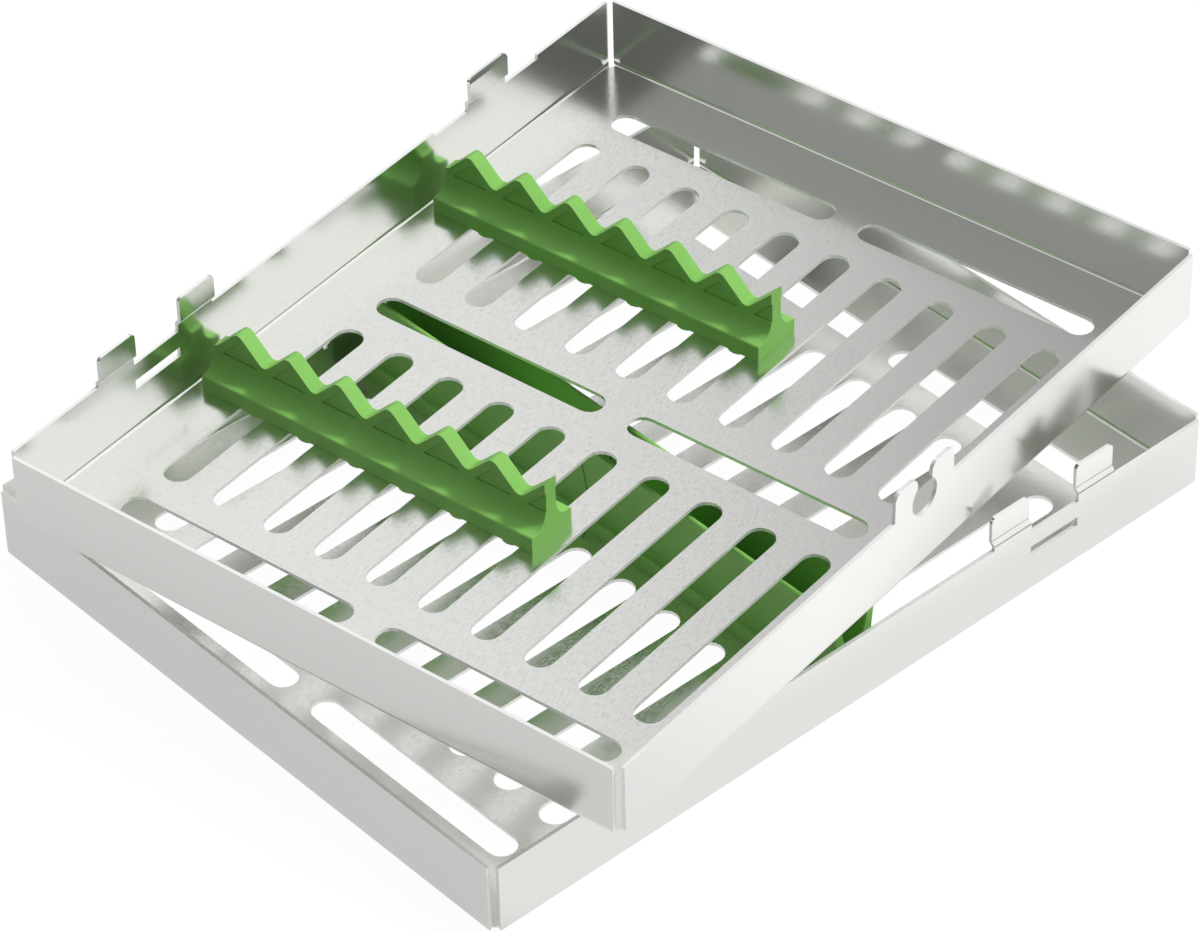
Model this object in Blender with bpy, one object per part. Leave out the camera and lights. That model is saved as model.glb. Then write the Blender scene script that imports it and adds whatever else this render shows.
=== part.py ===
"""Locking instrument tray: two folded steel halves with silicone holders, shown open.

The cover half stands at the bottom with its two hold-down bars. The holder half, with two
toothed racks, rests skewed on the tabs of the cover half. Turned over, one half closes on the
other: hook and tabs mate on the hinge side, and the clasp slides over the turning lock.
Lengths are metres, +Z is up, and the origin is the middle of the cover half's bottom face.
"""
import math

import bmesh
import bpy
from mathutils import Matrix, Vector

MM = 0.001

# Folded sheet, the same for both halves
TRAY_WIDTH = 141.7 * MM
TRAY_LENGTH = 180.0 * MM
RIM_HEIGHT = 16.0 * MM
SHEET = 0.75 * MM
BEND_RADIUS = 1.5 * MM
CORNER_GAP = 1.5 * MM
CORNER_CUT = 1.0 * MM
BEND_STEPS = 6

# Clearances
FIT = 0.1 * MM
SEAT_GAP = 0.3 * MM
PLUG_GAP = 0.25 * MM

# Drain slots
SLOT_WIDTH = 6.0 * MM
SLOT_PITCH = 12.28 * MM
CROSS_SLOTS = 10
CROSS_INNER = 9.5 * MM
CROSS_OUTER = 64.7 * MM
LONG_INNER = 3.25 * MM
LONG_OUTER = 57.86 * MM
LONG_ROW = 74.06 * MM
PATTERN_SHIFT = 0.28 * MM
ROUND_STEPS = 8

# Tabs, hook and reliefs of the hinge side
MATE_OFFSET = 49.4 * MM
HOOK_WIDTH = 11.8 * MM
HOOK_PLAY = 0.35 * MM
TAB_WIDTH = 9.75 * MM
RELIEF_PLAY = 0.35 * MM
RELIEF_DEPTH = 0.95 * MM
TAB_RISE = 7.1 * MM
TAB_ROUND = 1.0 * MM
JOGGLE_START = 0.8 * MM
JOGGLE_HEIGHT = 1.2 * MM
JOGGLE_FOOT_BEND = 0.3 * MM
JOGGLE_TOP_BEND = 0.15 * MM
CORNER_STEPS = 4
LIP_LENGTH = 1.1 * MM
LIP_ANGLE = math.radians(75.0)
CATCH_HEIGHT = 2.1 * MM
CATCH_BELOW_RIM = 4.7 * MM

# Keyhole clasp of the holder half
CLASP_WIDTH = 18.3 * MM
CLASP_RISE = 6.4 * MM
CLASP_ROUND = 2.0 * MM
KEYHOLE_RADIUS = 3.85 * MM
KEYHOLE_RISE = 0.3 * MM
THROAT_WIDTH = 4.5 * MM

# Lock carrier and lock of the cover half
CARRIER_WIDTH = 20.0 * MM
CARRIER_SLIT = 1.0 * MM
SLIT_BOTTOM = 6.0 * MM
CARRIER_JOGGLE = 7.0 * MM
LOCK_BORE = 6.0 * MM
KEY_PLAY = 0.15 * MM
STEM_RADIUS = 2.1 * MM
HEAD_RADIUS = 3.2 * MM
HEAD_LENGTH = 0.5 * MM
DISC_RADIUS = 6.0 * MM
DISC_LENGTH = 1.4 * MM
GRIP_LENGTH = 10.6 * MM
GRIP_WIDTH = 3.0 * MM
GRIP_REACH = 3.6 * MM
WASHER_RADIUS = 5.0 * MM
WASHER_LENGTH = 0.8 * MM
TURN_STEPS = 32

# Foot shared by racks and hold-down bars
FOOT_HALF = 5.8 * MM
FOOT_HEIGHT = 3.6 * MM
SHOULDER_ROUND = 0.5 * MM
SHOULDER_STEPS = 3
HOLLOW_STEPS = 8

# Toothed racks
RACK_FRONT_Y = -35.05 * MM
RACK_REAR_Y = 34.2 * MM
RACK_TEETH = 6
RACK_HALF = 1.65 * MM
RACK_HOLLOW = 3.4 * MM
TOOTH_VALLEY = 8.4 * MM
TOOTH_PEAK = 13.3 * MM
TOOTH_ROUND = 1.5 * MM
TOOTH_STEPS = 3
RECESS_DEPTH = 0.27 * MM
RECESS_FLOOR = 7.1 * MM
RECESS_APEX = 1.9 * MM
RECESS_ROUND = 0.15 * MM
RECESS_STEPS = 3

# Hold-down bars
BAR_HINGE_GAP = 2.85 * MM
BAR_LOCK_GAP = 4.6 * MM
BAR_JOINT_X = -0.65 * MM
BAR_JOINT_LEAN = 0.1
BAR_NECK_HALF = 4.0 * MM
BAR_HOLLOW = 1.2 * MM
BAR_HEIGHT = 20.35 * MM
BAR_LIP_HALF = 5.4 * MM
BAR_FLARE_POWER = 1.5
BAR_LIP = 1.2 * MM
BAR_ROOT = 2.6 * MM
BAR_CHANNEL_FLOOR = 7.7 * MM
BAR_CHANNEL_ROUND = 1.7 * MM
FLARE_STEPS = 7
LIP_STEPS = 4

# Place of the holder half above the cover half
SKEW = math.radians(10.04)
SKEW_X = 0.5 * MM
SKEW_Y = 2.79 * MM

TAB_TOP = RIM_HEIGHT + TAB_RISE
JOGGLE = SHEET + FIT
REST_HEIGHT = TAB_TOP + SEAT_GAP
KEYHOLE_HEIGHT = RIM_HEIGHT + KEYHOLE_RISE
LOCK_HEIGHT = RIM_HEIGHT - KEYHOLE_RISE
PLUG_WIDTH = SLOT_WIDTH - 2 * PLUG_GAP
CUT_MARGIN = 3 * MM


def clear_scene():
    for item in list(bpy.data.objects):
        bpy.data.objects.remove(item, do_unlink=True)


def make_material(name, colour, metallic, roughness):
    material = bpy.data.materials.new(name)
    material.use_nodes = True
    shader = material.node_tree.nodes["Principled BSDF"]
    shader.inputs["Base Color"].default_value = (*colour, 1.0)
    shader.inputs["Metallic"].default_value = metallic
    shader.inputs["Roughness"].default_value = roughness
    return material


def mesh_object(name, bm, material=None, parent=None):
    """Turn a bmesh into an object with smooth rounds and sharp edges."""
    mesh = bpy.data.meshes.new(name)
    bm.to_mesh(mesh)
    bm.free()
    mesh.shade_smooth()
    mesh.set_sharp_from_angle(angle=math.radians(30.0))
    if material:
        mesh.materials.append(material)
    item = bpy.data.objects.new(name, mesh)
    bpy.context.scene.collection.objects.link(item)
    item.parent = parent
    return item


def tool_object(name, bm, parent):
    """A hidden body that a Boolean modifier reads."""
    bmesh.ops.recalc_face_normals(bm, faces=bm.faces)
    item = mesh_object(name, bm, parent=parent)
    item.hide_render = True
    item.display_type = "WIRE"
    return item


def add_boolean(item, tool, operation):
    modifier = item.modifiers.new(tool.name, "BOOLEAN")
    modifier.object = tool
    modifier.operation = operation
    modifier.solver = "EXACT"


def arc(centre, radius, start, end, steps):
    """Points on an arc about centre, angles in degrees, both ends included."""
    points = []
    for step in range(steps + 1):
        angle = math.radians(start + (end - start) * step / steps)
        points.append((centre[0] + radius * math.cos(angle), centre[1] + radius * math.sin(angle)))
    return points


def stadium(centre, length, width, along_y):
    """Outline of a slot with round ends."""
    reach = (length - width) / 2
    outline = arc((reach, 0), width / 2, -90, 90, ROUND_STEPS)
    outline += arc((-reach, 0), width / 2, 90, 270, ROUND_STEPS)
    if along_y:
        outline = [(-b, a) for a, b in outline]
    return [(centre[0] + a, centre[1] + b) for a, b in outline]


def add_prism(bm, outline, place, low, high):
    """Extrude an outline of (a, b) points between two levels of place(a, b, level)."""
    face = bm.faces.new([bm.verts.new(place(a, b, low)) for a, b in outline])
    region = bmesh.ops.extrude_face_region(bm, geom=[face])["geom"]
    moved = [part for part in region if isinstance(part, bmesh.types.BMVert)]
    bmesh.ops.translate(bm, verts=moved, vec=place(0, 0, high) - place(0, 0, low))


def flat(a, b, level):
    return Vector((a, b, level))


def side_place(side):
    """Place (along, inset, height) on one wall of a tray, inset from its outer face."""
    half_width = TRAY_WIDTH / 2
    half_length = TRAY_LENGTH / 2
    places = {
        "hinge": lambda along, inset, height: Vector((inset - half_width, along, height)),
        "lock": lambda along, inset, height: Vector((half_width - inset, along, height)),
        "front": lambda along, inset, height: Vector((along, inset - half_length, height)),
        "rear": lambda along, inset, height: Vector((along, half_length - inset, height)),
    }
    return places[side]


def add_face(bm, points):
    bm.faces.new([bm.verts.new(point) for point in points])


def add_bend(bm, place, side_length):
    """Round the sheet from the bottom plate up into a wall."""
    wall_half = side_length / 2 - CORNER_GAP
    plate_half = side_length / 2 - BEND_RADIUS - CORNER_CUT
    rows = []
    for step in range(BEND_STEPS + 1):
        angle = math.pi / 2 * step / BEND_STEPS
        half = plate_half + (wall_half - plate_half) * math.sin(angle)
        inset = BEND_RADIUS * (1 - math.sin(angle))
        height = BEND_RADIUS * (1 - math.cos(angle))
        rows.append((place(-half, inset, height), place(half, inset, height)))
    for below, above in zip(rows, rows[1:]):
        add_face(bm, (below[0], below[1], above[1], above[0]))


def wall_outline(side_length, spans):
    """Flat wall whose top edge follows spans of (start, end, height), and the rim elsewhere."""
    half = side_length / 2 - CORNER_GAP
    points = [(-half, BEND_RADIUS), (half, BEND_RADIUS)]
    cursor = half
    for start, end, height in sorted(spans, reverse=True):
        if end < cursor:
            points += [(cursor, RIM_HEIGHT), (end, RIM_HEIGHT)]
        points += [(end, height), (start, height)]
        cursor = start
    return points + [(cursor, RIM_HEIGHT), (-half, RIM_HEIGHT)]


def add_wall(bm, place, outline):
    add_face(bm, [place(along, 0, height) for along, height in outline])


def add_tab(bm, place, start, end, foot, top, corner, lip=0.0):
    """Tab that steps inward by one sheet, so that the other half's wall passes outside it."""
    slope = JOGGLE / (JOGGLE_HEIGHT - (JOGGLE_FOOT_BEND + JOGGLE_TOP_BEND) / 2)
    profile = [
        (0, 0), (JOGGLE_FOOT_BEND * slope / 2, JOGGLE_FOOT_BEND),
        (JOGGLE - JOGGLE_TOP_BEND * slope / 2, JOGGLE_HEIGHT - JOGGLE_TOP_BEND),
        (JOGGLE, JOGGLE_HEIGHT),
    ]
    rows = [
        (place(start, inset, foot + rise), place(end, inset, foot + rise))
        for inset, rise in profile
    ]
    for below, above in zip(rows, rows[1:]):
        add_face(bm, (below[0], below[1], above[1], above[0]))
    shoulder = foot + JOGGLE_HEIGHT
    if lip:
        top -= SHEET * math.cos(LIP_ANGLE)
    crease = top - lip * math.sin(LIP_ANGLE)

    def tip(along, rise):
        over = max(rise - crease, 0.0)
        return place(along, JOGGLE - over / math.tan(LIP_ANGLE), rise)

    round_top = arc((end - corner, top - corner), corner, 0, 90, CORNER_STEPS)
    round_top += arc((start + corner, top - corner), corner, 90, 180, CORNER_STEPS)
    if lip:
        add_face(bm, [tip(start, shoulder), tip(end, shoulder), tip(end, crease), tip(start, crease)])
        round_top = [(end, crease)] + round_top + [(start, crease)]
    else:
        round_top = [(end, shoulder)] + round_top + [(start, shoulder)]
    add_face(bm, [tip(along, rise) for along, rise in round_top])


def hinge_wall(bm):
    """Two tabs with a gap between them, and the hook that passes through such a gap."""
    place = side_place("hinge")
    gap_half = HOOK_WIDTH / 2 + HOOK_PLAY
    tabs_half = gap_half + TAB_WIDTH
    relief_half = tabs_half + RELIEF_PLAY
    relief = RIM_HEIGHT - RELIEF_DEPTH
    stub = RIM_HEIGHT + JOGGLE_START
    pair = -MATE_OFFSET
    hook = MATE_OFFSET
    spans = [
        (pair - tabs_half, pair - gap_half, stub),
        (pair - gap_half, pair + gap_half, relief),
        (pair + gap_half, pair + tabs_half, stub),
        (hook - relief_half, hook - HOOK_WIDTH / 2, relief),
        (hook - HOOK_WIDTH / 2, hook + HOOK_WIDTH / 2, stub),
        (hook + HOOK_WIDTH / 2, hook + relief_half, relief),
    ]
    add_wall(bm, place, wall_outline(TRAY_LENGTH, spans))
    add_tab(bm, place, pair - tabs_half, pair - gap_half, stub, TAB_TOP, TAB_ROUND)
    add_tab(bm, place, pair + gap_half, pair + tabs_half, stub, TAB_TOP, TAB_ROUND)
    add_tab(bm, place, hook - HOOK_WIDTH / 2, hook + HOOK_WIDTH / 2, stub, TAB_TOP,
            LIP_LENGTH * math.sin(LIP_ANGLE), LIP_LENGTH)


def clasp_outline():
    """Keyhole clasp standing on the rim, from its right foot over both horns to its left."""
    half = CLASP_WIDTH / 2
    throat = THROAT_WIDTH / 2
    top = RIM_HEIGHT + CLASP_RISE
    level = top - CLASP_ROUND
    meet = math.degrees(math.acos(throat / KEYHOLE_RADIUS))
    right = [(half, RIM_HEIGHT)]
    right += arc((half - CLASP_ROUND, level), CLASP_ROUND, 0, 90, CORNER_STEPS)
    right += arc((throat + CLASP_ROUND, level), CLASP_ROUND, 90, 180, CORNER_STEPS)
    hole = arc((0, KEYHOLE_HEIGHT), KEYHOLE_RADIUS, meet, -180 - meet, 3 * ROUND_STEPS)
    left = [(-along, height) for along, height in reversed(right)]
    return right + hole + left


def clasp_wall(bm):
    outline = wall_outline(TRAY_LENGTH, [])
    outline[3:3] = clasp_outline()
    add_wall(bm, side_place("lock"), outline)


def carrier_wall(bm):
    """Panel between two slits, stepped inward so that the closed clasp lies outside it."""
    place = side_place("lock")
    half = CARRIER_WIDTH / 2
    spans = [
        (-half - CARRIER_SLIT, -half, SLIT_BOTTOM),
        (-half, half, CARRIER_JOGGLE),
        (half, half + CARRIER_SLIT, SLIT_BOTTOM),
    ]
    add_wall(bm, place, wall_outline(TRAY_LENGTH, spans))
    add_tab(bm, place, -half, half, CARRIER_JOGGLE, TAB_TOP, CLASP_ROUND)


def bottom_outline():
    half_width = TRAY_WIDTH / 2 - BEND_RADIUS
    half_length = TRAY_LENGTH / 2 - BEND_RADIUS
    quarter = [(half_width, half_length - CORNER_CUT), (half_width - CORNER_CUT, half_length)]
    outline = list(quarter)
    outline += [(-a, b) for a, b in reversed(quarter)]
    outline += [(-a, -b) for a, b in quarter]
    outline += [(a, -b) for a, b in reversed(quarter)]
    return outline


def slot_columns():
    middle = (CROSS_SLOTS - 1) / 2
    return [PATTERN_SHIFT + (index - middle) * SLOT_PITCH for index in range(CROSS_SLOTS)]


def add_floor_slots(bm):
    cut = (-CUT_MARGIN, SHEET + CUT_MARGIN)
    length = CROSS_OUTER - CROSS_INNER
    for column in slot_columns():
        for row in (-1, 1):
            centre = (column, row * (CROSS_OUTER + CROSS_INNER) / 2)
            add_prism(bm, stadium(centre, length, SLOT_WIDTH, True), flat, *cut)
    for row in (-LONG_ROW, 0, LONG_ROW):
        for centre in long_slot_centres(row):
            add_prism(bm, stadium(centre, LONG_OUTER - LONG_INNER, SLOT_WIDTH, False), flat, *cut)


def long_slot_centres(row):
    reach = (LONG_OUTER + LONG_INNER) / 2
    return [(PATTERN_SHIFT - reach, row), (PATTERN_SHIFT + reach, row)]


def add_catch_slot(bm):
    """Slot in the hinge wall that the other half's hook catches in."""
    place = side_place("hinge")
    half = HOOK_WIDTH / 2 + HOOK_PLAY
    top = RIM_HEIGHT - CATCH_BELOW_RIM
    low = top - CATCH_HEIGHT
    middle = -MATE_OFFSET
    outline = [(middle - half, low), (middle + half, low), (middle + half, top), (middle - half, top)]
    add_prism(bm, outline, lambda a, b, level: place(a, level, b), -CUT_MARGIN, SHEET + CUT_MARGIN)


def add_lock_bore(bm):
    place = side_place("lock")
    outline = arc((0, LOCK_HEIGHT), LOCK_BORE / 2, 0, 360 - 360 / TURN_STEPS, TURN_STEPS - 1)
    add_prism(bm, outline, lambda a, b, level: place(a, level, b), -CUT_MARGIN, JOGGLE + CUT_MARGIN)


def make_tray(name, material, lock_side, has_lock):
    """One folded half: outer skin first, then its thickness inward, then the cuts."""
    bm = bmesh.new()
    add_face(bm, [flat(a, b, 0) for a, b in bottom_outline()])
    for side, length in (("hinge", TRAY_LENGTH), ("lock", TRAY_LENGTH),
                         ("front", TRAY_WIDTH), ("rear", TRAY_WIDTH)):
        add_bend(bm, side_place(side), length)
    add_wall(bm, side_place("front"), wall_outline(TRAY_WIDTH, []))
    add_wall(bm, side_place("rear"), wall_outline(TRAY_WIDTH, []))
    hinge_wall(bm)
    lock_side(bm)
    bmesh.ops.remove_doubles(bm, verts=bm.verts, dist=SHEET / 100)
    bmesh.ops.recalc_face_normals(bm, faces=bm.faces)
    bm.faces.ensure_lookup_table()
    if bm.faces[0].normal.z > 0:
        bmesh.ops.reverse_faces(bm, faces=bm.faces)
    tray = mesh_object(name, bm, material)
    solidify = tray.modifiers.new("Sheet", "SOLIDIFY")
    solidify.thickness = SHEET
    solidify.offset = -1.0
    solidify.use_even_offset = True
    cuts = bmesh.new()
    add_floor_slots(cuts)
    add_catch_slot(cuts)
    if has_lock:
        add_lock_bore(cuts)
    add_boolean(tray, tool_object(name + "_cuts", cuts, tray), "DIFFERENCE")
    return tray


def foot_side(neck_half, hollow):
    """Right side of a holder's foot: upright side, round shoulder and a hollow up to the neck."""
    shoulder = (FOOT_HALF - SHOULDER_ROUND, FOOT_HEIGHT - SHOULDER_ROUND)
    points = [(FOOT_HALF, SEAT_GAP)]
    points += arc(shoulder, SHOULDER_ROUND, 0, 90, SHOULDER_STEPS)
    points += arc((neck_half + hollow, FOOT_HEIGHT + hollow), hollow, 270, 180, HOLLOW_STEPS)
    return points


def tooth_line(start, end, peaks):
    """Top edge of a rack: slopes at 45 degrees, round tips and valleys, and a sharp last tip."""
    points = []
    half_pitch = SLOT_PITCH / 2
    low_centre = TOOTH_VALLEY + TOOTH_ROUND
    for peak in peaks[:-1]:
        points += arc((peak - half_pitch, low_centre), TOOTH_ROUND, 270, 315, TOOTH_STEPS)
        points += arc((peak, TOOTH_PEAK - TOOTH_ROUND), TOOTH_ROUND, 135, 45, 2 * TOOTH_STEPS)
        points += arc((peak + half_pitch, low_centre), TOOTH_ROUND, 225, 270, TOOTH_STEPS)
    points += arc((peaks[-1] - half_pitch, low_centre), TOOTH_ROUND, 270, 315, TOOTH_STEPS)
    points.append((peaks[-1], TOOTH_PEAK + TOOTH_ROUND * (math.sqrt(2) - 1)))
    kept = []
    for along, height in points:
        if start - MM / 100 <= along <= end + MM / 100:
            if not kept or along - kept[-1][0] > MM / 100:
                kept.append((along, height))
    return kept


def rack_peaks():
    first = slot_columns()[0] - SLOT_PITCH / 2
    return [first + index * SLOT_PITCH for index in range(RACK_TEETH + 1)]


def rack_body(start, end):
    """Foot and hollow sides as one long profile, with the toothed web standing on them."""
    bm = bmesh.new()
    side = foot_side(RACK_HALF, RACK_HOLLOW)
    neck_height = side[-1][1]
    teeth = tooth_line(start, end, rack_peaks())
    for (across, height), (next_across, next_height) in zip(side, side[1:]):
        for sign in (-1, 1):
            add_face(bm, (
                (start, sign * across, height), (end, sign * across, height),
                (end, sign * next_across, next_height), (start, sign * next_across, next_height)))
    for sign in (-1, 1):
        web = [(end, sign * RACK_HALF, neck_height), (start, sign * RACK_HALF, neck_height)]
        add_face(bm, web + [(along, sign * RACK_HALF, height) for along, height in teeth])
    for (along, height), (next_along, next_height) in zip(teeth, teeth[1:]):
        add_face(bm, (
            (along, -RACK_HALF, height), (along, RACK_HALF, height),
            (next_along, RACK_HALF, next_height), (next_along, -RACK_HALF, next_height)))
    add_face(bm, (
        (start, -FOOT_HALF, SEAT_GAP), (end, -FOOT_HALF, SEAT_GAP),
        (end, FOOT_HALF, SEAT_GAP), (start, FOOT_HALF, SEAT_GAP)))
    for along, top in ((start, teeth[0][1]), (end, teeth[-1][1])):
        outline = side + [(RACK_HALF, top)]
        outline += [(-across, height) for across, height in reversed(outline)]
        add_face(bm, [(along, across, height) for across, height in outline])
    bmesh.ops.remove_doubles(bm, verts=bm.verts, dist=SHEET / 100)
    bmesh.ops.recalc_face_normals(bm, faces=bm.faces)
    return bm


def add_recesses(bm):
    """Shallow triangles on both faces of each tooth."""
    apex = TOOTH_PEAK - RECESS_APEX
    half = apex - RECESS_FLOOR
    inner = RACK_HALF - RECESS_DEPTH
    outer = RACK_HALF + RECESS_DEPTH
    reach = half - RECESS_ROUND / math.tan(math.radians(22.5))
    level = RECESS_FLOOR + RECESS_ROUND
    tip = apex - RECESS_ROUND * math.sqrt(2)
    for peak in rack_peaks():
        outline = arc((peak + reach, level), RECESS_ROUND, -90, 45, RECESS_STEPS)
        outline += arc((peak, tip), RECESS_ROUND, 45, 135, RECESS_STEPS)
        outline += arc((peak - reach, level), RECESS_ROUND, 135, 270, RECESS_STEPS)
        for sign in (-1, 1):
            add_prism(bm, outline, lambda a, b, level: Vector((a, level, b)), sign * inner, sign * outer)


def add_plugs(bm, centres, length, along_y):
    """Studs that stand in the drain slots and end flush with the underside."""
    for centre in centres:
        outline = stadium(centre, length, PLUG_WIDTH, along_y)
        add_prism(bm, outline, flat, SEAT_GAP / 2 - SHEET, SEAT_GAP + MM)


def make_rack(name, material, tray, across):
    columns = slot_columns()
    start = columns[0] - SLOT_PITCH
    end = columns[RACK_TEETH - 1] + SLOT_PITCH / 2
    rack = mesh_object(name, rack_body(start, end), material, tray)
    rack.location = (0, across, SHEET)
    plugs = bmesh.new()
    add_plugs(plugs, [(column, 0) for column in columns[:RACK_TEETH]], 2 * FOOT_HALF, True)
    add_boolean(rack, tool_object(name + "_plugs", plugs, rack), "UNION")
    recesses = bmesh.new()
    add_recesses(recesses)
    add_boolean(rack, tool_object(name + "_recesses", recesses, rack), "DIFFERENCE")
    return rack


def bar_half(height):
    """Outer half width of the bar above its neck."""
    neck_height = FOOT_HEIGHT + BAR_HOLLOW
    share = max(height - neck_height, 0.0) / (BAR_HEIGHT - neck_height)
    return BAR_NECK_HALF + (BAR_LIP_HALF - BAR_NECK_HALF) * share ** BAR_FLARE_POWER


def channel_half(height):
    """Inner half width: the wall grows from the lip to the channel's floor."""
    share = (BAR_HEIGHT - height) / (BAR_HEIGHT - BAR_CHANNEL_FLOOR)
    return bar_half(height) - BAR_LIP - (BAR_ROOT - BAR_LIP) * share


def bar_section():
    """Right half of a hold-down bar: foot, neck, flared side, lip and the open channel."""
    outer = foot_side(BAR_NECK_HALF, BAR_HOLLOW)
    neck_height = outer[-1][1]
    lip_centre = BAR_HEIGHT - BAR_LIP / 2
    for step in range(1, FLARE_STEPS + 1):
        height = neck_height + (lip_centre - neck_height) * step / FLARE_STEPS
        outer.append((bar_half(height), height))
    lip = arc((outer[-1][0] - BAR_LIP / 2, lip_centre), BAR_LIP / 2, 0, 180, 2 * LIP_STEPS)
    low = BAR_CHANNEL_FLOOR + BAR_CHANNEL_ROUND
    inner = []
    for step in range(1, FLARE_STEPS + 1):
        height = lip_centre + (low - lip_centre) * step / FLARE_STEPS
        inner.append((channel_half(height), height))
    inner += arc((0, low), inner[-1][0], 0, -90, LIP_STEPS)[1:]
    return outer + lip[1:] + inner


def make_bar(name, material, tray, start, end, joint, slot_centre):
    """One bar along the middle of the cover half, its joint end cut to a slight lean."""
    right = bar_section()
    outline = right + [(-across, height) for across, height in reversed(right[:-1])]
    bm = bmesh.new()
    add_prism(bm, outline, lambda a, b, level: Vector((level, a, b)), start, end)
    for vert in bm.verts:
        if abs(vert.co.x - joint) < MM / 100:
            vert.co.x += BAR_JOINT_LEAN * vert.co.z
    bmesh.ops.recalc_face_normals(bm, faces=bm.faces)
    bar = mesh_object(name, bm, material, tray)
    bar.location = (0, 0, SHEET)
    plugs = bmesh.new()
    add_plugs(plugs, [slot_centre], LONG_OUTER - LONG_INNER - 2 * PLUG_GAP, False)
    add_boolean(bar, tool_object(name + "_plug", plugs, bar), "UNION")
    return bar


def spin_profile(bm, profile):
    """Turn a profile of (along X, radius) points about the X axis."""
    verts = [bm.verts.new((along, 0, radius)) for along, radius in profile]
    edges = [bm.edges.new(pair) for pair in zip(verts, verts[1:])]
    bmesh.ops.spin(bm, geom=verts + edges, cent=(0, 0, 0), axis=(1, 0, 0), angle=math.tau,
                   steps=TURN_STEPS, use_merge=True)
    bmesh.ops.remove_doubles(bm, verts=bm.verts, dist=SHEET / 100)
    bmesh.ops.recalc_face_normals(bm, faces=bm.faces)


def make_lock(material, tray):
    """Turning lock in the carrier panel: grip and disc outside, key, stem, washer and head."""
    panel_inner = -JOGGLE - SHEET
    key_start = -JOGGLE + SEAT_GAP
    disc_start = KEY_PLAY
    key_radius = KEYHOLE_RADIUS - KEY_PLAY
    key_half = THROAT_WIDTH / 2 - KEY_PLAY
    collar_end = panel_inner - SEAT_GAP
    washer_end = collar_end - WASHER_LENGTH
    head_start = washer_end - SEAT_GAP
    head_end = head_start - HEAD_LENGTH
    collar_radius = LOCK_BORE / 2 - SEAT_GAP
    disc_end = disc_start + DISC_LENGTH
    profile = [
        (head_end, 0), (head_end, HEAD_RADIUS), (head_start, HEAD_RADIUS),
        (head_start, STEM_RADIUS), (collar_end, STEM_RADIUS), (collar_end, collar_radius),
        (key_start, collar_radius), (key_start, key_radius), (disc_start, key_radius),
        (disc_start, DISC_RADIUS), (disc_end, DISC_RADIUS), (disc_end, 0),
    ]
    place = Vector((TRAY_WIDTH / 2, 0, LOCK_HEIGHT))
    bm = bmesh.new()
    spin_profile(bm, profile)
    knob = mesh_object("lock_knob", bm, material, tray)
    knob.location = place
    flats = bmesh.new()
    key_cut = (disc_start - key_start) / 2
    for sign in (-1, 1):
        block = Matrix.Translation(((disc_start + key_start) / 2, sign * (key_half + key_radius), 0))
        block = block @ Matrix.Diagonal((2 * key_cut, 2 * key_radius, 3 * key_radius, 1))
        bmesh.ops.create_cube(flats, size=1.0, matrix=block)
    add_boolean(knob, tool_object("lock_knob_flats", flats, knob), "DIFFERENCE")
    grip = bmesh.new()
    outline = stadium((0, 0), GRIP_LENGTH, GRIP_WIDTH, True)
    add_prism(grip, outline, lambda a, b, level: Vector((level, a, b)),
              disc_end - DISC_LENGTH / 2, disc_end + GRIP_REACH)
    add_boolean(knob, tool_object("lock_knob_grip", grip, knob), "UNION")

    bore = STEM_RADIUS + SEAT_GAP
    ring = [(collar_end, bore), (collar_end, WASHER_RADIUS), (washer_end, WASHER_RADIUS),
            (washer_end, bore), (collar_end, bore)]
    bm = bmesh.new()
    spin_profile(bm, ring)
    retainer = mesh_object("lock_retainer", bm, material, tray)
    retainer.location = place


def main():
    clear_scene()
    steel = make_material("brushed_steel", (0.86, 0.86, 0.84), 1.0, 0.2)
    turned_steel = make_material("turned_steel", (0.78, 0.78, 0.77), 1.0, 0.2)
    silicone = make_material("green_silicone", (0.26, 0.58, 0.13), 0.0, 0.48)

    lower = make_tray("lower_tray", steel, carrier_wall, True)
    lower.rotation_euler.z = math.pi
    upper = make_tray("upper_tray", steel, clasp_wall, False)
    upper.location = (SKEW_X, SKEW_Y, REST_HEIGHT)
    upper.rotation_euler.z = SKEW

    make_rack("rack_front", silicone, upper, RACK_FRONT_Y)
    make_rack("rack_rear", silicone, upper, RACK_REAR_Y)

    hinge_slot, lock_slot = long_slot_centres(0)
    hinge_end = BAR_JOINT_X - SEAT_GAP / 2
    lock_end = BAR_JOINT_X + SEAT_GAP / 2
    make_bar("holddown_bar_hinge", silicone, lower, BAR_HINGE_GAP - TRAY_WIDTH / 2, hinge_end,
             hinge_end, hinge_slot)
    make_bar("holddown_bar_lock", silicone, lower, lock_end, TRAY_WIDTH / 2 - BAR_LOCK_GAP,
             lock_end, lock_slot)
    make_lock(turned_steel, lower)


main()
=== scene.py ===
import bmesh
import bpy
import math
from mathutils import Matrix, Vector


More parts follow.
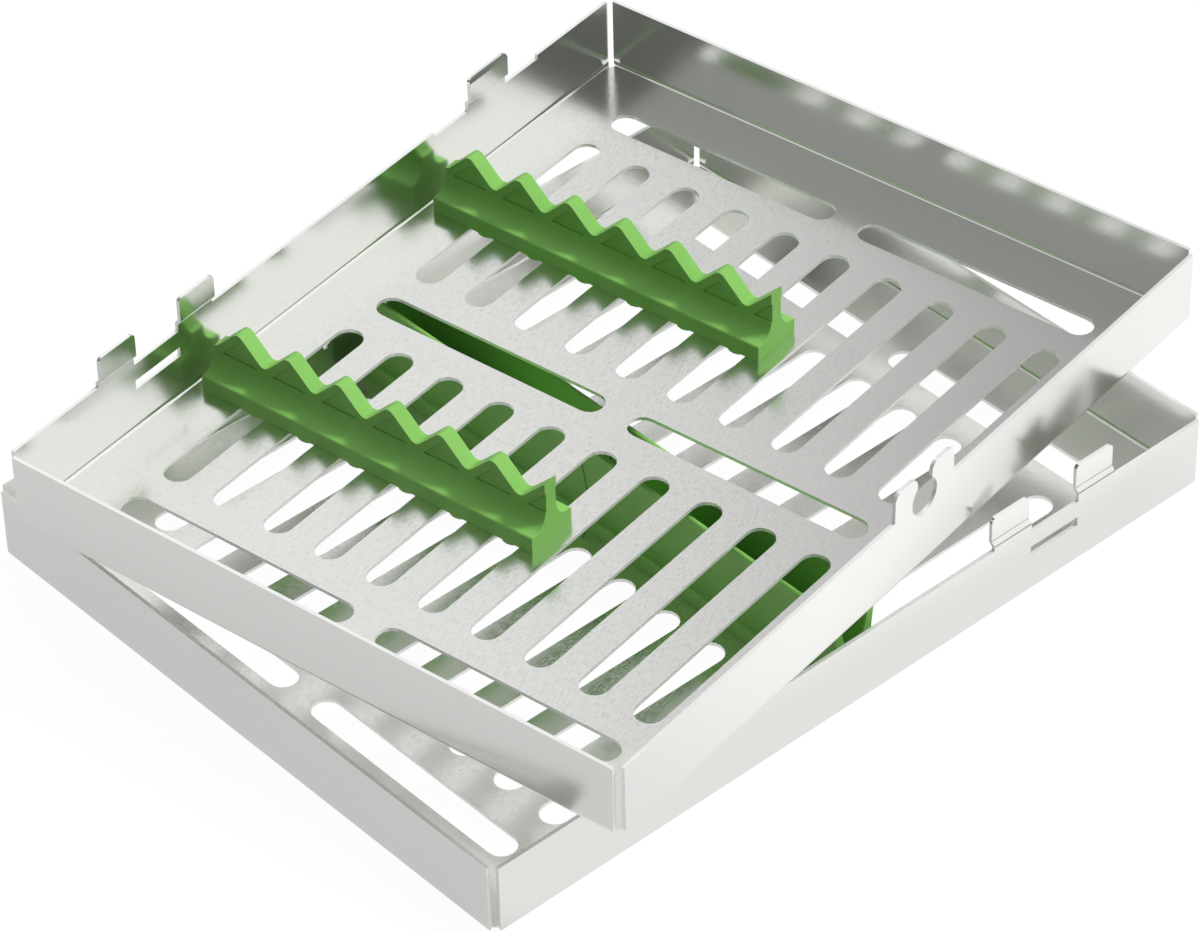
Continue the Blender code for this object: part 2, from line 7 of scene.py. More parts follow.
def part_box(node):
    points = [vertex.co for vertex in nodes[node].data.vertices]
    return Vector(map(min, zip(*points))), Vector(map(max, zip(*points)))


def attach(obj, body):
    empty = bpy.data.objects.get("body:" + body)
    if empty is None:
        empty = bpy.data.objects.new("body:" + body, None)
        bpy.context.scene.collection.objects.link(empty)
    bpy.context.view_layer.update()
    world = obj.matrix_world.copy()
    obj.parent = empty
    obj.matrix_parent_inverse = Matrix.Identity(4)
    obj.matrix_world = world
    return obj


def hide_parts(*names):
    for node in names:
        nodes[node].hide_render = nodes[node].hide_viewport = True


mm = 0.001
xAxis = (1.0, 0.0, 0.0)
yAxis = (0.0, 1.0, 0.0)
zAxis = (0.0, 0.0, 1.0)
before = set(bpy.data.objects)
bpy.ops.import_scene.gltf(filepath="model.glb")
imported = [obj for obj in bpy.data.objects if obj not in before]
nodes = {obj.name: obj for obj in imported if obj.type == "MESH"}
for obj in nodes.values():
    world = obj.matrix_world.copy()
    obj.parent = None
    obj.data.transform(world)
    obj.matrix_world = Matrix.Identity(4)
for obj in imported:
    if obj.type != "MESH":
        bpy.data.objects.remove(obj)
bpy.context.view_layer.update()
print("frame loaded:", sorted(nodes))


# camera at the photograph's view
cameraSet = {
    "place": (0.57736, -0.50604, 0.65775),
    "turn": (49.954, 1.105, 47.885),
    "lens": 158.77,
    "sensorWidth": 36.0,
    "nearest": 0.01,
}


def makeCamera(setup):
    data = bpy.data.cameras.new("camera")
    data.lens = setup["lens"]
    data.sensor_width = setup["sensorWidth"]
    data.clip_start = setup["nearest"]
    camera = bpy.data.objects.new("camera", data)
    camera.location = setup["place"]
    camera.rotation_euler = [math.radians(angle) for angle in setup["turn"]]
    bpy.context.scene.collection.objects.link(camera)
    bpy.context.scene.camera = camera


makeCamera(cameraSet)
bpy.context.scene.view_settings.view_transform = "Standard"
print("camera placed")


# short calls for nodes; a value may be a socket to link or a constant
def newNode(tree, kind, **values):
    node = tree.nodes.new(kind)
    for key, value in values.items():
        setattr(node, key, value)
    return node


def linkNodes(tree, pairs):
    for source, target in pairs:
        tree.links.new(source, target)


def feed(tree, socket, value):
    if isinstance(value, bpy.types.NodeSocket):
        tree.links.new(value, socket)
    else:
        socket.default_value = value


def mathNode(tree, operation, first, second, clamp=False):
    node = newNode(tree, "ShaderNodeMath", operation=operation, use_clamp=clamp)
    feed(tree, node.inputs[0], first)
    feed(tree, node.inputs[1], second)
    return node.outputs[0]


def vectorNode(tree, operation, first, second=None):
    node = newNode(tree, "ShaderNodeVectorMath", operation=operation)
    feed(tree, node.inputs[0], first)
    if second is not None:
        feed(tree, node.inputs[1], second)
    return node.outputs


def alongNode(tree, vector, direction):
    return vectorNode(tree, "DOT_PRODUCT", vector, direction)["Value"]


def rampNode(tree, value, fromLow, fromHigh, low, high):
    node = newNode(tree, "ShaderNodeMapRange", interpolation_type="SMOOTHSTEP")
    feed(tree, node.inputs["Value"], value)
    feed(tree, node.inputs["From Min"], fromLow)
    feed(tree, node.inputs["From Max"], fromHigh)
    feed(tree, node.inputs["To Min"], low)
    feed(tree, node.inputs["To Max"], high)
    return node.outputs["Result"]


def mixValue(tree, share, first, second):
    node = newNode(tree, "ShaderNodeMix", data_type="FLOAT")
    feed(tree, node.inputs["Factor"], share)
    feed(tree, node.inputs["A"], first)
    feed(tree, node.inputs["B"], second)
    return node.outputs["Result"]


def mixColour(tree, share, first, second):
    node = newNode(tree, "ShaderNodeMix", data_type="RGBA")
    feed(tree, node.inputs["Factor"], share)
    for label, colour in (("A", first), ("B", second)):
        feed(tree, node.inputs[label], (*colour, 1.0) if isinstance(colour, tuple) else colour)
    return node.outputs["Result"]


def noiseNode(tree, vector, scale, detail, roughness=0.5):
    node = newNode(tree, "ShaderNodeTexNoise")
    feed(tree, node.inputs["Vector"], vector)
    feed(tree, node.inputs["Scale"], scale)
    feed(tree, node.inputs["Detail"], detail)
    feed(tree, node.inputs["Roughness"], roughness)
    return node.outputs["Fac"]


# studio: one soft panel to the left, one to the right, a faint one overhead
# it is dim at the front and along the horizon, and the lamp doesn't show in gloss
studioSet = {
    "leftPanel": (-1.0, 0.09, 0.0),
    "leftEdge": (0.725, 0.825),
    "leftGlow": 1.06,
    "rightPanel": (0.70, 0.71, 0.0),
    "rightEdge": (0.57, 0.82),
    "rightGlow": 1.18,
    "awayFromFront": (-1.0, 0.0, 0.0),
    "frontSpan": (-0.75, 0.5),
    "frontGlow": (0.15, 0.38),
    "horizonEdge": (0.06, 0.36),
    "horizonShare": 0.2,
    "overhead": (0.0, 0.30, 0.95),
    "overheadEdge": (0.86, 0.98),
    "overheadGlow": 0.45,
    "seenByCamera": 1.0,
    "lampTowards": (0.40, 0.52, 0.75),
    "lampStrength": 2.05,
    "lampAngle": 12,
}


def makeWorld(setup):
    world = bpy.data.worlds.new("studio")
    bpy.context.scene.world = world
    world.use_nodes = True
    tree = world.node_tree
    tree.nodes.clear()
    aim = newNode(tree, "ShaderNodeTexCoord").outputs["Generated"]
    level = vectorNode(tree, "MULTIPLY", aim, (1.0, 1.0, 0.0))["Vector"]
    side = vectorNode(tree, "NORMALIZE", level)["Vector"]
    left = rampNode(tree, alongNode(tree, side, setup["leftPanel"]), *setup["leftEdge"], 0.0, 1.0)
    right = rampNode(tree, alongNode(tree, side, setup["rightPanel"]), *setup["rightEdge"], 0.0, 1.0)
    away = alongNode(tree, side, setup["awayFromFront"])
    front = rampNode(tree, away, *setup["frontSpan"], *setup["frontGlow"])
    withLeft = mixValue(tree, left, front, setup["leftGlow"])
    panels = mixValue(tree, right, withLeft, setup["rightGlow"])
    height = alongNode(tree, aim, zAxis)
    horizon = rampNode(tree, height, *setup["horizonEdge"], setup["horizonShare"], 1.0)
    around = mathNode(tree, "MULTIPLY", panels, horizon)
    overhead = alongNode(tree, aim, Vector(setup["overhead"]).normalized())
    above = rampNode(tree, overhead, *setup["overheadEdge"], 0.0, setup["overheadGlow"])
    glow = mathNode(tree, "ADD", around, above)
    path = newNode(tree, "ShaderNodeLightPath")
    strength = mixValue(tree, path.outputs["Is Camera Ray"], glow, setup["seenByCamera"])
    background = newNode(tree, "ShaderNodeBackground")
    output = newNode(tree, "ShaderNodeOutputWorld")
    linkNodes(tree, [
        (strength, background.inputs["Strength"]),
        (background.outputs[0], output.inputs["Surface"]),
    ])


def makeLamp(setup):
    data = bpy.data.lights.new("lamp", "SUN")
    data.energy = setup["lampStrength"]
    data.angle = math.radians(setup["lampAngle"])
    lamp = bpy.data.objects.new("lamp", data)
    lamp.rotation_euler = Vector(setup["lampTowards"]).to_track_quat("Z", "Y").to_euler()
    lamp.visible_glossy = False
    bpy.context.scene.collection.objects.link(lamp)


# floor: white to the camera, and in the steel it is brighter to the right and the rear
# it is dimmer at the front left and far out
floorSet = {
    "half": 3.0,
    "gap": 0.2 * mm,
    "colour": (0.9, 0.9, 0.9, 1.0),
    "seenShare": 0.9,
    "litShare": 0.5,
    "white": 1.05,
    "glow": 0.82,
    "frontGlow": 0.62,
    "frontSpan": (-0.078, -0.092),
    "rearRight": (1.0, 1.0, 0.0),
    "rearRightSpan": (0.0, -0.03),
    "rightExtra": (-0.02, 0.22),
    "rightSpan": (0.079, 0.090),
    "rightAlong": (-0.06, 0.03),
    "rearExtra": 0.15,
    "rearSpan": (0.075, 0.125),
    "farSpan": (0.19, 0.32),
    "farShare": 0.2,
}


def floorGlow(tree, setup):
    # the floor's brightness in reflections, by its place
    place = newNode(tree, "ShaderNodeTexCoord").outputs["Object"]
    across = alongNode(tree, place, xAxis)
    along = alongNode(tree, place, yAxis)
    reach = vectorNode(tree, "LENGTH", place)["Value"]
    front = rampNode(tree, along, *setup["frontSpan"], 0.0, 1.0)
    left = rampNode(tree, alongNode(tree, place, setup["rearRight"]), *setup["rearRightSpan"], 0.0, 1.0)
    corner = mathNode(tree, "MULTIPLY", front, left)
    dimmed = mathNode(tree, "MULTIPLY", corner, setup["frontGlow"] - setup["glow"])
    rightExtra = rampNode(tree, along, *setup["rightAlong"], *setup["rightExtra"])
    right = rampNode(tree, across, *setup["rightSpan"], 0.0, rightExtra)
    rear = rampNode(tree, along, *setup["rearSpan"], 0.0, setup["rearExtra"])
    extra = mathNode(tree, "MAXIMUM", right, rear)
    near = mathNode(tree, "ADD", mathNode(tree, "ADD", dimmed, extra), setup["glow"])
    far = rampNode(tree, reach, *setup["farSpan"], 1.0, setup["farShare"])
    return mathNode(tree, "MULTIPLY", near, far)


def makeFloor(setup):
    bm = bmesh.new()
    bmesh.ops.create_grid(bm, x_segments=1, y_segments=1, size=setup["half"])
    bmesh.ops.translate(bm, verts=bm.verts, vec=(0, 0, -setup["gap"]))
    mesh = bpy.data.meshes.new("floor")
    bm.to_mesh(mesh)
    bm.free()
    floor = bpy.data.objects.new("floor", mesh)
    bpy.context.scene.collection.objects.link(floor)
    material = bpy.data.materials.new("paleFloor")
    material.use_nodes = True
    tree = material.node_tree
    tree.nodes.clear()
    rays = newNode(tree, "ShaderNodeLightPath").outputs
    glossy = mathNode(tree, "MAXIMUM", rays["Is Glossy Ray"], rays["Is Transmission Ray"])
    seen = mathNode(tree, "MAXIMUM", rays["Is Camera Ray"], glossy)
    share = mixValue(tree, seen, setup["litShare"], setup["seenShare"])
    glow = mixValue(tree, glossy, setup["white"], floorGlow(tree, setup))
    emission = newNode(tree, "ShaderNodeEmission")
    diffuse = newNode(tree, "ShaderNodeBsdfDiffuse")
    diffuse.inputs["Color"].default_value = setup["colour"]
    blend = newNode(tree, "ShaderNodeMixShader")
    output = newNode(tree, "ShaderNodeOutputMaterial")
    linkNodes(tree, [
        (glow, emission.inputs["Strength"]),
        (share, blend.inputs[0]),
        (diffuse.outputs[0], blend.inputs[1]),
        (emission.outputs[0], blend.inputs[2]),
        (blend.outputs[0], output.inputs["Surface"]),
    ])
    mesh.materials.append(material)


makeWorld(studioSet)
makeLamp(studioSet)
makeFloor(floorSet)
print("studio and floor made")


# shared effects, one node group each; an input with a number is a float, one with None a vector
def newGroup(name, inputs, outputs):
    tree = bpy.data.node_groups.new(name, "ShaderNodeTree")
    for label, value in inputs.items():
        kind = "NodeSocketVector" if value is None else "NodeSocketFloat"
        socket = tree.interface.new_socket(name=label, in_out="INPUT", socket_type=kind)
        if value is not None:
            socket.default_value = value
    for label in outputs:
        tree.interface.new_socket(name=label, in_out="OUTPUT", socket_type="NodeSocketFloat")
    return tree, newNode(tree, "NodeGroupInput").outputs, newNode(tree, "NodeGroupOutput").inputs


def placeGroup(tree, group, **values):
    node = newNode(tree, "ShaderNodeGroup", node_tree=group)
    for label, value in values.items():
        feed(tree, node.inputs[label], value)
    return node.outputs


grainSet = {
    "detail": 2.0,
    "roughness": 0.6,
    "scratchScale": 0.45,
    "scratchDetail": 1.0,
    "scratchSpan": (0.66, 0.76),
}


def makeGrainGroup(setup):
    # fine streaks: noise that is short across the brushing and long along it
    tree, taken, given = newGroup(
        "brushedGrain",
        {"Vector": None, "Across": 4000.0, "Along": 300.0, "Low": 0.25, "High": 0.75},
        ("Streaks", "Scratches"))
    scale = newNode(tree, "ShaderNodeCombineXYZ")
    linkNodes(tree, [
        (taken["Across"], scale.inputs[0]),
        (taken["Along"], scale.inputs[1]),
        (taken["Along"], scale.inputs[2]),
    ])
    stretched = vectorNode(tree, "MULTIPLY", taken["Vector"], scale.outputs[0])["Vector"]
    fine = noiseNode(tree, stretched, 1.0, setup["detail"], setup["roughness"])
    streaks = rampNode(tree, fine, taken["Low"], taken["High"], 0.0, 1.0)
    coarse = noiseNode(tree, stretched, setup["scratchScale"], setup["scratchDetail"])
    scratches = rampNode(tree, coarse, *setup["scratchSpan"], 0.0, 1.0)
    linkNodes(tree, [(streaks, given["Streaks"]), (scratches, given["Scratches"])])
    return tree


driftSet = {"detail": 3.0, "span": (0.3, 0.7)}


def makeDriftGroup(setup):
    # slow drift of tone over a piece
    tree, taken, given = newGroup(
        "toneDrift", {"Vector": None, "Scale": 40.0, "Low": 0.0, "High": 1.0}, ("Tone",))
    noise = noiseNode(tree, taken["Vector"], taken["Scale"], setup["detail"])
    tone = rampNode(tree, noise, *setup["span"], taken["Low"], taken["High"])
    tree.links.new(tone, given["Tone"])
    return tree


wearAndHighlightSet = {"detail": 2.0, "span": (0.35, 0.65)}


def makeWearAndHighlightGroup(setup):
    # the mesh marks its rounded edges, and a noise breaks the mark up as handling wear does; the mask
    # gives the edges a paler colour, partly wear and partly a painted highlight
    tree, taken, given = newGroup(
        "edgeWearAndHighlight", {"Vector": None, "Edge": 0.0, "Scale": 400.0, "Least": 0.5}, ("Mask",))
    noise = noiseNode(tree, taken["Vector"], taken["Scale"], setup["detail"])
    broken = rampNode(tree, noise, *setup["span"], taken["Least"], 1.0)
    tree.links.new(mathNode(tree, "MULTIPLY", broken, taken["Edge"], clamp=True), given["Mask"])
    return tree


skinSet = {"detail": 2.0, "speckPitch": 0.35, "speckSpan": (0.05, 0.14)}


def makeSkinGroup(setup):
    # the fine moulded skin of the silicone, with a few paler specks
    tree, taken, given = newGroup(
        "mouldedSkin", {"Vector": None, "Scale": 2500.0}, ("Height", "Specks"))
    pores = noiseNode(tree, taken["Vector"], taken["Scale"], setup["detail"])
    cells = newNode(tree, "ShaderNodeTexVoronoi")
    feed(tree, cells.inputs["Vector"], taken["Vector"])
    feed(tree, cells.inputs["Scale"], mathNode(tree, "MULTIPLY", taken["Scale"], setup["speckPitch"]))
    specks = rampNode(tree, cells.outputs["Distance"], *setup["speckSpan"], 1.0, 0.0)
    linkNodes(tree, [(pores, given["Height"]), (specks, given["Specks"])])
    return tree


brushedGrain = makeGrainGroup(grainSet)
toneDrift = makeDriftGroup(driftSet)
edgeWearAndHighlight = makeWearAndHighlightGroup(wearAndHighlightSet)
mouldedSkin = makeSkinGroup(skinSet)
print("effect groups made")


# what every material of the object is begun and ended with
bumpReach = 0.2 * mm


def newMaterial(name):
    material = bpy.data.materials.new(name)
    material.use_nodes = True
    tree = material.node_tree
    return material, tree, tree.nodes["Principled BSDF"], newNode(tree, "ShaderNodeTexCoord").outputs


def meshMark(tree, name):
    return newNode(tree, "ShaderNodeAttribute", attribute_name=name).outputs["Fac"]


# the tone drift, and the edge mask for wear and painted highlight
def toneWearAndHighlight(tree, solid, setup):
    low, high = setup["toneShare"]
    tone = placeGroup(tree, toneDrift, Vector=solid, Scale=setup["toneScale"], Low=low, High=high)
    wearAndHighlight = placeGroup(tree, edgeWearAndHighlight, Vector=solid, Edge=meshMark(tree, "roundedEdge"),
                      Scale=setup["wearAndHighlightScale"], Least=setup["wearAndHighlightLeast"])
    return tone["Tone"], wearAndHighlight["Mask"]


def linkSurface(tree, shader, colour, rough, height, depth, invert=False):
    bump = newNode(tree, "ShaderNodeBump", invert=invert)
    bump.inputs["Strength"].default_value = depth
    bump.inputs["Distance"].default_value = bumpReach
    linkNodes(tree, [
        (colour, shader.inputs["Base Color"]),
        (rough, shader.inputs["Roughness"]),
        (height, bump.inputs["Height"]),
        (bump.outputs["Normal"], shader.inputs["Normal"]),
    ])


# brushed stainless sheet, its grain laid out on the flat blank before folding
sheetSteelSet = {
    "colour": (0.92, 0.928, 0.897),
    "darkGrain": (0.85, 0.857, 0.832),
    "dull": (0.89, 0.897, 0.87),
    "scratch": (0.95, 0.955, 0.94),
    "scratchShare": 0.5,
    # paler, less metallic colour on the rims and cut edges: a painted highlight
    "edge": (0.96, 0.965, 0.95),
    "edgeMetal": 0.45,
    "roughness": (0.17, 0.23),
    "edgeRoughness": 0.3,
    "wallGrain": 0.25,
    "across": 5600.0,
    "along": 560.0,
    "streakSpan": (0.34, 0.48),
    "depth": 0.05,
    "toneScale": 55.0,
    "toneShare": (0.0, 0.25),
    "wearAndHighlightScale": 160.0,
    "wearAndHighlightLeast": 0.85,
}


def makeSheetSteel(name, setup):
    material, tree, shader, coords = newMaterial(name)
    low, high = setup["streakSpan"]
    grain = placeGroup(tree, brushedGrain, Vector=coords["UV"], Across=setup["across"],
                       Along=setup["along"], Low=low, High=high)
    tone, wearAndHighlight = toneWearAndHighlight(tree, coords["Object"], setup)
    share = mixValue(tree, meshMark(tree, "bottom"), setup["wallGrain"], 1.0)
    groove = mathNode(tree, "MULTIPLY", mathNode(tree, "SUBTRACT", 1.0, grain["Streaks"]), share)
    streaked = mixColour(tree, groove, setup["colour"], setup["darkGrain"])
    drifted = mixColour(tree, tone, streaked, setup["dull"])
    shine = mathNode(tree, "MULTIPLY", grain["Scratches"], setup["scratchShare"])
    scratched = mixColour(tree, shine, drifted, setup["scratch"])
    # the rounded rims and cut edges go paler, less metallic and rougher: a painted highlight for the
    # bright rim lines, broken up like wear
    colour = mixColour(tree, wearAndHighlight, scratched, setup["edge"])
    rough = mixValue(tree, wearAndHighlight, rampNode(tree, groove, 0.0, 1.0, *setup["roughness"]),
                     setup["edgeRoughness"])
    metal = rampNode(tree, wearAndHighlight, 0.0, 1.0, 1.0, setup["edgeMetal"])
    tree.links.new(metal, shader.inputs["Metallic"])
    linkSurface(tree, shader, colour, rough, groove, setup["depth"], invert=True)
    return material


# turned stainless of the lock, with rings from the lathe about its own axis
turnedSteelSet = {
    "colour": (0.80, 0.80, 0.79),
    "darkRing": (0.70, 0.70, 0.69),
    "edge": (0.93, 0.93, 0.92),
    "roughness": (0.26, 0.16),
    "edgeRoughness": 0.10,
    "ringPitch": 0.22 * mm,
    "ringSpan": (0.2, 0.8),
    "depth": 0.04,
    "toneScale": 300.0,
    "toneShare": (0.0, 0.4),
    "wearAndHighlightScale": 900.0,
    "wearAndHighlightLeast": 0.6,
}


def makeTurnedSteel(name, setup, nodeName):
    material, tree, shader, coords = newMaterial(name)
    solid = coords["Object"]
    lowest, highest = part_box(nodeName)
    centre = (Vector(lowest) + Vector(highest)) / 2
    shift = newNode(tree, "ShaderNodeMapping")
    shift.inputs["Location"].default_value = [-value for value in centre]
    tree.links.new(solid, shift.inputs["Vector"])
    flat = vectorNode(tree, "MULTIPLY", shift.outputs["Vector"], (0.0, 1.0, 1.0))["Vector"]
    fromAxis = newNode(tree, "ShaderNodeCombineXYZ")
    tree.links.new(vectorNode(tree, "LENGTH", flat)["Value"], fromAxis.inputs[0])
    low, high = setup["ringSpan"]
    rings = placeGroup(tree, brushedGrain, Vector=fromAxis.outputs[0],
                       Across=1.0 / setup["ringPitch"], Along=1.0, Low=low, High=high)["Streaks"]
    tone, wearAndHighlight = toneWearAndHighlight(tree, solid, setup)
    ringed = mixColour(tree, rings, setup["darkRing"], setup["colour"])
    drifted = mixColour(tree, tone, ringed, setup["darkRing"])
    colour = mixColour(tree, wearAndHighlight, drifted, setup["edge"])
    rough = mixValue(tree, wearAndHighlight, rampNode(tree, rings, 0.0, 1.0, *setup["roughness"]),
                     setup["edgeRoughness"])
    shader.inputs["Metallic"].default_value = 1.0
    linkSurface(tree, shader, colour, rough, rings, setup["depth"])
    return material


# matt green silicone; its rounded edges are painted paler, a painted highlight, and its recess borders
# darker, a painted shade
siliconeSet = {
    "colour": (0.265, 0.585, 0.135),
    "deep": (0.235, 0.545, 0.115),
    # paler colour on the rounded edges: a painted highlight
    "edge": (0.36, 0.70, 0.22),
    "speck": (0.34, 0.64, 0.20),
    "speckShare": 0.12,
    # darker colour on the recess borders: painted shade
    "crease": (0.12, 0.33, 0.055),
    "roughness": (0.42, 0.52),
    "skinScale": 2600.0,
    "skinSpan": (0.3, 0.7),
    "depth": 0.035,
    "shine": 0.3,
    "glow": 0.12,
    "glowColour": (0.5, 1.0, 0.3),
    "glowReach": 1.2 * mm,
    "toneScale": 70.0,
    "toneShare": (0.0, 1.0),
    "wearAndHighlightScale": 350.0,
    "wearAndHighlightLeast": 0.7,
}


def makeSilicone(name, setup):
    material, tree, shader, coords = newMaterial(name)
    solid = coords["Object"]
    skin = placeGroup(tree, mouldedSkin, Vector=solid, Scale=setup["skinScale"])
    tone, wearAndHighlight = toneWearAndHighlight(tree, solid, setup)
    base = mixColour(tree, tone, setup["colour"], setup["deep"])
    share = mathNode(tree, "MULTIPLY", skin["Specks"], setup["speckShare"])
    speckled = mixColour(tree, share, base, setup["speck"])
    # the recess borders painted darker: painted shade for their shadow
    creased = mixColour(tree, meshMark(tree, "crease"), speckled, setup["crease"])
    # the rounded edges painted paler: a painted highlight where the edges catch the light
    colour = mixColour(tree, wearAndHighlight, creased, setup["edge"])
    rough = rampNode(tree, skin["Height"], *setup["skinSpan"], *setup["roughness"])
    shader.inputs["Specular IOR Level"].default_value = setup["shine"]
    shader.inputs["Subsurface Weight"].default_value = setup["glow"]
    shader.inputs["Subsurface Radius"].default_value = setup["glowColour"]
    shader.inputs["Subsurface Scale"].default_value = setup["glowReach"]
    linkSurface(tree, shader, colour, rough, skin["Height"], setup["depth"])
    return material


sheetSteel = makeSheetSteel("brushedSheet", sheetSteelSet)
turnedSteel = makeTurnedSteel("turnedLock", turnedSteelSet, "lock_knob")
rackSilicone = makeSilicone("rackSilicone", siliconeSet)
barSilicone = makeSilicone("barSilicone", siliconeSet)
print("materials made")


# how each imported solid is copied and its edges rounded
copySet = {
    "mergeWithin": 0.002 * mm,
    "flatWithin": 0.6,
    "sharpAngle": 35,
    "roundSteps": 2,
}


def cleanCopy(nodeName, setup=copySet):
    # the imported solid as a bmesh: its loose triangles are merged and its flats made whole
    bm = bmesh.new()
    bm.from_mesh(nodes[nodeName].data)
    bmesh.ops.remove_doubles(bm, verts=bm.verts, dist=setup["mergeWithin"])
    bmesh.ops.dissolve_limit(bm, angle_limit=math.radians(setup["flatWithin"]), verts=bm.verts,
                             edges=bm.edges)
    return bm


def markFaces(bm, faces, name):
    mark = bm.loops.layers.float.get(name) or bm.loops.layers.float.new(name)
    for face in faces:
        for loop in face.loops:
            loop[mark] = 1.0


def roundEdges(bm, width, isCrisp=None, setup=copySet):
    # round the sharp edges and mark the new narrow faces for the edge wear and painted highlight
    sharp = []
    for edge in bm.edges:
        if len(edge.link_faces) != 2 or edge.calc_face_angle(0) < math.radians(setup["sharpAngle"]):
            continue
        if isCrisp and any(isCrisp(face) for face in edge.link_faces):
            continue
        sharp.append(edge)
    made = bmesh.ops.bevel(bm, geom=sharp, offset=width, segments=setup["roundSteps"],
                           affect="EDGES", profile=0.5, material=-1, clamp_overlap=True)
    markFaces(bm, made["faces"], "roundedEdge")


def shadeSmooth(bm, smoothAngle, isFold=None):
    # an edge stays sharp past the smooth angle, or where it is a tight fold in the sheet
    for face in bm.faces:
        face.smooth = True
    for edge in bm.edges:
        angle = edge.calc_face_angle(0)
        edge.smooth = angle < math.radians(smoothAngle) and not (isFold and isFold(edge, angle))


def finishPiece(bm, nodeName, body, material, smoothAngle, isFold=None):
    shadeSmooth(bm, smoothAngle, isFold)
    mesh = bpy.data.meshes.new(nodeName + "_fine")
    bm.to_mesh(mesh)
    bm.free()
    mesh.materials.append(material)
    piece = bpy.data.objects.new(nodeName + "_fine", mesh)
    bpy.context.scene.collection.objects.link(piece)
    weighted = piece.modifiers.new("even", "WEIGHTED_NORMAL")
    weighted.keep_sharp = True
    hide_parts(nodeName)
    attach(piece, body)


# where the two halves lie in the frame; each is drawn about its own middle
holderSet = {"shift": (0.5 * mm, 2.79 * mm, 23.4 * mm), "turn": 10.04}
holderTurn = Matrix.Rotation(math.radians(holderSet["turn"]), 4, "Z")
holderPlace = Matrix.Translation(holderSet["shift"]) @ holderTurn
coverPlace = Matrix.Rotation(math.pi, 4, "Z")


# trays: edges rounded, and each wall unfolded into the plane of the bottom for the grain
traySet = {
    "halfWidth": 70.85 * mm,
    "halfLength": 90.0 * mm,
    "cutWidth": 0.78 * mm,
    "cutAngle": 60,
    "levelAbove": 0.7,
    "bottomAbove": 0.99,
    "edgeRound": 0.12 * mm,
    "smoothAngle": 40,
    "foldAngle": 8,
    "foldsAbove": 16.3 * mm,
}


def unfold(point, normal, setup):
    if abs(normal.z) > setup["levelAbove"]:
        return (point.x, point.y)
    if abs(normal.x) > abs(normal.y):
        side = math.copysign(1.0, point.x)
        return (side * (setup["halfWidth"] + point.z), point.y)
    side = math.copysign(1.0, point.y)
    return (point.x, side * (setup["halfLength"] + point.z))


def layOutGrain(bm, inverse, setup):
    sheet = bm.loops.layers.uv.new("sheet")
    for face in bm.faces:
        normal = inverse.to_3x3() @ face.normal
        for loop in face.loops:
            loop[sheet].uv = unfold(inverse @ loop.vert.co, normal, setup)


def isCut(face, setup):
    # a face no wider than the sheet is thick, with a sharp edge along both of its long sides
    cutAngle = math.radians(setup["cutAngle"])
    around = sum(edge.calc_length() for edge in face.edges)
    sharp = sum(edge.calc_length() for edge in face.edges if edge.calc_face_angle(0) > cutAngle)
    return face.calc_area() < setup["cutWidth"] * around / 2 and sharp > around / 2


def makeTray(nodeName, body, place, setup):
    inverse = place.inverted()

    def isFold(edge, angle):
        lowest = min((inverse @ vert.co).z for vert in edge.verts)
        return angle > math.radians(setup["foldAngle"]) and lowest > setup["foldsAbove"]

    bm = cleanCopy(nodeName)
    markFaces(bm, [face for face in bm.faces if isCut(face, setup)], "roundedEdge")
    markFaces(bm, [face for face in bm.faces if abs(face.normal.z) > setup["bottomAbove"]], "bottom")
    roundEdges(bm, setup["edgeRound"])
    layOutGrain(bm, inverse, setup)
    finishPiece(bm, nodeName, body, sheetSteel, setup["smoothAngle"], isFold)


makeTray("lower_tray", "base", coverPlace, traySet)
makeTray("upper_tray", "holder", holderPlace, traySet)
print("trays made")


# the soft feet of racks and bars rest on the sheet; their solids keep a small gap to it
footSet = {
    "bottom": 1.05 * mm,
    "seated": 0.77 * mm,
    "within": 0.02 * mm,
}


def isUnderFoot(vert, inverse, setup=footSet):
    return abs((inverse @ vert.co).z - setup["bottom"]) < setup["within"]


def seatFoot(bm, inverse, setup=footSet):
    bottom = [vert for vert in bm.verts if isUnderFoot(vert, inverse)]
    bmesh.ops.translate(bm, verts=bottom, vec=(0, 0, setup["seated"] - setup["bottom"]))


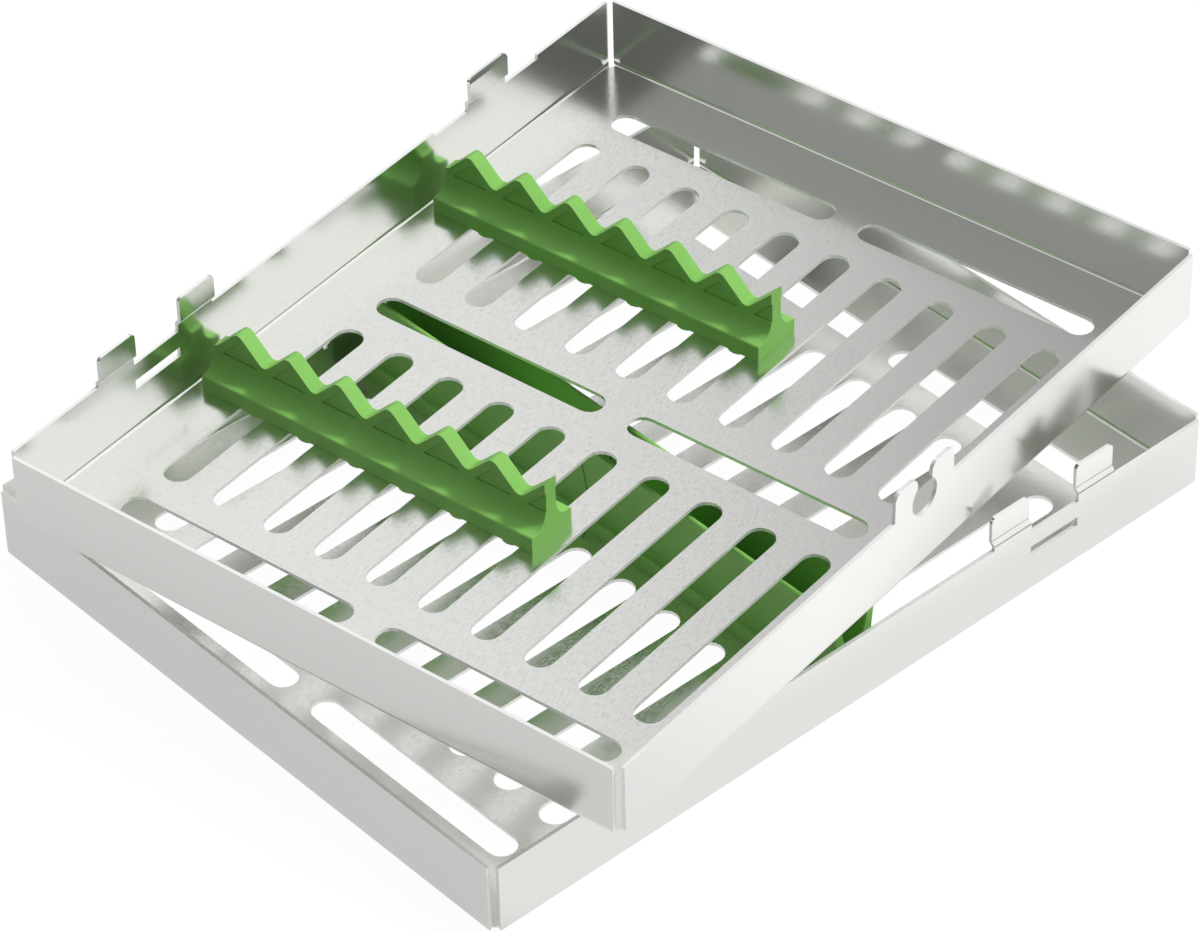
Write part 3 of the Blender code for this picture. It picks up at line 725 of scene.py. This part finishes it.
# racks: outer edges rounded, the shallow triangles in the teeth kept crisp, with a dark line of painted
# shade along the borders of their floors
rackSet = {
    "middle": {"rack_front": -35.05 * mm, "rack_rear": 34.2 * mm},
    "recessPlane": 1.38 * mm,
    "recessWithin": 0.03 * mm,
    "recessLine": 0.13 * mm,
    "endNormal": 0.9,
    "edgeRound": 0.22 * mm,
    "smoothAngle": 50,
}


def makeRack(nodeName, setup):
    inverse = holderPlace.inverted()
    middle = setup["middle"][nodeName]

    def onRecess(vert):
        across = abs((inverse @ vert.co).y - middle)
        return abs(across - setup["recessPlane"]) < setup["recessWithin"]

    def isCrisp(face):
        isEnd = abs((inverse.to_3x3() @ face.normal).x) > setup["endNormal"]
        inRecess = not isEnd and any(onRecess(vert) for vert in face.verts)
        return inRecess or all(isUnderFoot(vert, inverse) for vert in face.verts)

    bm = cleanCopy(nodeName)
    floors = [face for face in bm.faces if all(onRecess(vert) for vert in face.verts)]
    # a thin border inset in each recess floor, marked for the painted shade
    border = bmesh.ops.inset_individual(bm, faces=floors, thickness=setup["recessLine"])
    markFaces(bm, border["faces"], "crease")
    roundEdges(bm, setup["edgeRound"], isCrisp)
    seatFoot(bm, inverse)
    finishPiece(bm, nodeName, "holder", rackSilicone, setup["smoothAngle"])


makeRack("rack_front", rackSet)
makeRack("rack_rear", rackSet)
print("racks made")


barSet = {
    "edgeRound": 0.25 * mm,
    "smoothAngle": 50,
}


def makeBar(nodeName, setup):
    inverse = coverPlace.inverted()
    bm = cleanCopy(nodeName)
    roundEdges(bm, setup["edgeRound"],
               lambda face: all(isUnderFoot(vert, inverse) for vert in face.verts))
    seatFoot(bm, inverse)
    finishPiece(bm, nodeName, "base", barSilicone, setup["smoothAngle"])


makeBar("holddown_bar_hinge", barSet)
makeBar("holddown_bar_lock", barSet)
print("bars made")


lockSet = {
    "edgeRound": 0.15 * mm,
    "smoothAngle": 40,
}


def makeLockPiece(nodeName, setup):
    bm = cleanCopy(nodeName)
    roundEdges(bm, setup["edgeRound"])
    finishPiece(bm, nodeName, "lock", turnedSteel, setup["smoothAngle"])


makeLockPiece("lock_knob", lockSet)
makeLockPiece("lock_retainer", lockSet)
print("lock made")
